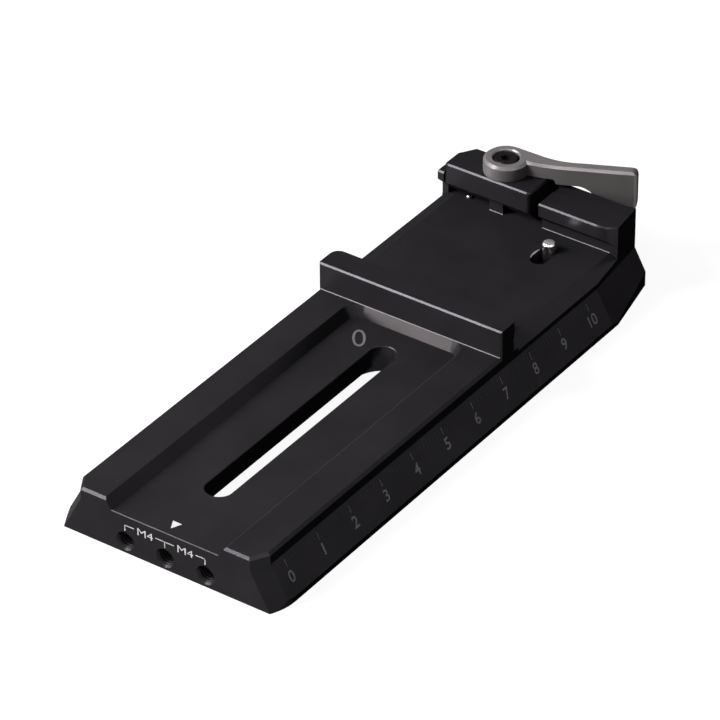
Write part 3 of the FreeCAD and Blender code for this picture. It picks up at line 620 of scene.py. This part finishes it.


# The bright bevel at the left end of the safety pin's slot: a painted highlight, a thin sheet
# of light colour standing in for its reflection of the lamps

BEVEL_ARC = ((6.62, 110.25), (6.03, 112.2), (6.44, 113.9))
BEVEL_MIDDLE = (6.4, 111.2)
BEVEL_EDGE = 0.03
BEVEL_HEIGHTS = (10.5, 10.605, 10.62)
outer = [BEVEL_ARC[0]] + arc_through(*BEVEL_ARC, 14)
outer = outer[::-1] + [BEVEL_MIDDLE]
inner = inset(outer, [BEVEL_EDGE] * len(outer))
bevel = loft("pin_slot_painted_highlight", [[(x, y, z) for x, y in ring[::-1]]
                                for ring, z in zip((outer, outer, inner), BEVEL_HEIGHTS)])
place(smooth(bevel), "pin_slot_painted_highlight", painted_slot_highlight)


# The safety pin's spring, which in the clamp shortens as the pin is pressed down; here it is
# built as a coil at one length

def spring_mesh(name, centre, low, high, mean, wire, turns):
    """An upright coil of round wire between two heights."""
    steps = round(24 * turns)
    sides = 8
    bm = bmesh.new()
    rows = []
    for i in range(steps + 1):
        turn = 2 * math.pi * turns * i / steps
        z = low + wire / 2 + (high - low - wire) * i / steps
        row = []
        for k in range(sides):
            a = 2 * math.pi * k / sides
            r = mean + wire / 2 * math.cos(a)
            p = (centre[0] + r * math.cos(turn), centre[1] + r * math.sin(turn),
                 z + wire / 2 * math.sin(a))
            row.append(bm.verts.new(Vector(p) * MM))
        rows.append(row)
    for a, b in zip(rows, rows[1:]):
        for k in range(sides):
            bm.faces.new((a[k], a[(k + 1) % sides], b[(k + 1) % sides], b[k]))
    bm.faces.new(rows[0])
    bm.faces.new(rows[-1])
    bmesh.ops.recalc_face_normals(bm, faces=bm.faces)
    return smooth(to_mesh(name, bm), 50)


COIL_MEAN_RADIUS = 1.55
COIL_WIRE = 0.34
COIL_TURNS = 3.5
box_low, box_high = (Vector(corner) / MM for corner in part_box("pin_spring"))
spring_x, spring_y = (box_low.x + box_high.x) / 2, (box_low.y + box_high.y) / 2
coil = place(spring_mesh("pin_coil", (spring_x, spring_y), box_low.z, box_high.z,
                         COIL_MEAN_RADIUS, COIL_WIRE, COIL_TURNS),
             "pin_coil", spring_steel)
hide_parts("pin_spring")
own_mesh(coil)


# Camera

def make_camera():
    az, el, roll = (math.radians(v) for v in CAMERA_ANGLES)
    forward = Vector((-math.sin(az) * math.cos(el), math.cos(az) * math.cos(el),
                      -math.sin(el)))
    right = Vector((math.cos(az), math.sin(az), 0))
    up = right.cross(forward)
    r2 = right * math.cos(roll) + up * math.sin(roll)
    u2 = -right * math.sin(roll) + up * math.cos(roll)
    data = bpy.data.cameras.new("camera")
    data.sensor_width = SENSOR_WIDTH
    data.lens = FOCAL_PIXELS / PICTURE_PIXELS * SENSOR_WIDTH
    data.clip_start = 0.05
    data.clip_end = 20
    cam = bpy.data.objects.new("camera", data)
    m = Matrix((r2, u2, -forward)).transposed().to_4x4()
    m.translation = (Vector(CAMERA_TARGET) - forward * CAMERA_DISTANCE) * MM
    cam.matrix_world = m
    bpy.context.scene.collection.objects.link(cam)
    bpy.context.scene.camera = cam


make_camera()


# Floor, lamps and world

def softbox(name, direction, distance, size, watts, colour, target):
    data = bpy.data.lights.new(name, "AREA")
    data.shape = "RECTANGLE"
    data.size = size
    data.size_y = size
    data.energy = watts
    data.color = colour
    obj = bpy.data.objects.new(name, data)
    d = Vector(direction).normalized()
    obj.location = Vector(target) + d * distance
    obj.rotation_mode = "QUATERNION"
    obj.rotation_quaternion = d.to_track_quat("Z", "Y")
    bpy.context.scene.collection.objects.link(obj)


for lamp in LAMPS:
    softbox(*lamp)


def background_rays(tree):
    """1 for camera, glossy and transmission rays, which see the white surroundings."""
    path = add(tree, "ShaderNodeLightPath")
    total = path.outputs["Is Camera Ray"]
    for kind in ("Is Glossy Ray", "Is Transmission Ray"):
        both = add(tree, "ShaderNodeMath", operation="ADD", use_clamp=True)
        tree.links.new(total, both.inputs[0])
        tree.links.new(path.outputs[kind], both.inputs[1])
        total = both.outputs[0]
    return total


def make_floor():
    """A floor that looks white, keeps the shadow, and throws little light back up."""
    far, z = FLOOR_REACH, FLOOR_HEIGHT
    corners = [(-far, -far, z), (far, -far, z), (far, far, z), (-far, far, z)]
    obj = bpy.data.objects.new("floor", quad_mesh("floor", [corners]))
    bpy.context.scene.collection.objects.link(obj)
    m, tree, shader = new_material("WhiteFloor")
    shader.inputs["Base Color"].default_value = (FLOOR_GREY, FLOOR_GREY, FLOOR_GREY, 1)
    shader.inputs["Roughness"].default_value = 0.8
    shader.inputs["Specular IOR Level"].default_value = 0.0
    shine = add(tree, "ShaderNodeEmission")
    level = add(tree, "ShaderNodeMath", operation="MULTIPLY")
    level.inputs[1].default_value = FLOOR_SHINE
    both = add(tree, "ShaderNodeAddShader")
    out = next(n for n in tree.nodes if n.type == "OUTPUT_MATERIAL")
    tree.links.new(background_rays(tree), level.inputs[0])
    tree.links.new(level.outputs[0], shine.inputs["Strength"])
    tree.links.new(shader.outputs[0], both.inputs[0])
    tree.links.new(shine.outputs[0], both.inputs[1])
    tree.links.new(both.outputs[0], out.inputs[0])
    obj.data.materials.append(m)


make_floor()


def make_world():
    """Dim light on the part, with white surroundings for the rays that see them."""
    world = bpy.data.worlds.new("studio")
    bpy.context.scene.world = world
    world.use_nodes = True
    tree = world.node_tree
    for n in list(tree.nodes):
        tree.nodes.remove(n)
    out = add(tree, "ShaderNodeOutputWorld")
    mix = add(tree, "ShaderNodeMixShader")
    for i, strength in ((1, WORLD_DIM), (2, WORLD_BRIGHT)):
        background = add(tree, "ShaderNodeBackground")
        background.inputs[0].default_value = (1, 1, 1, 1)
        background.inputs[1].default_value = strength
        tree.links.new(background.outputs[0], mix.inputs[i])
    tree.links.new(background_rays(tree), mix.inputs[0])
    tree.links.new(mix.outputs[0], out.inputs[0])


make_world()
bpy.context.scene.view_settings.view_transform = "Standard"
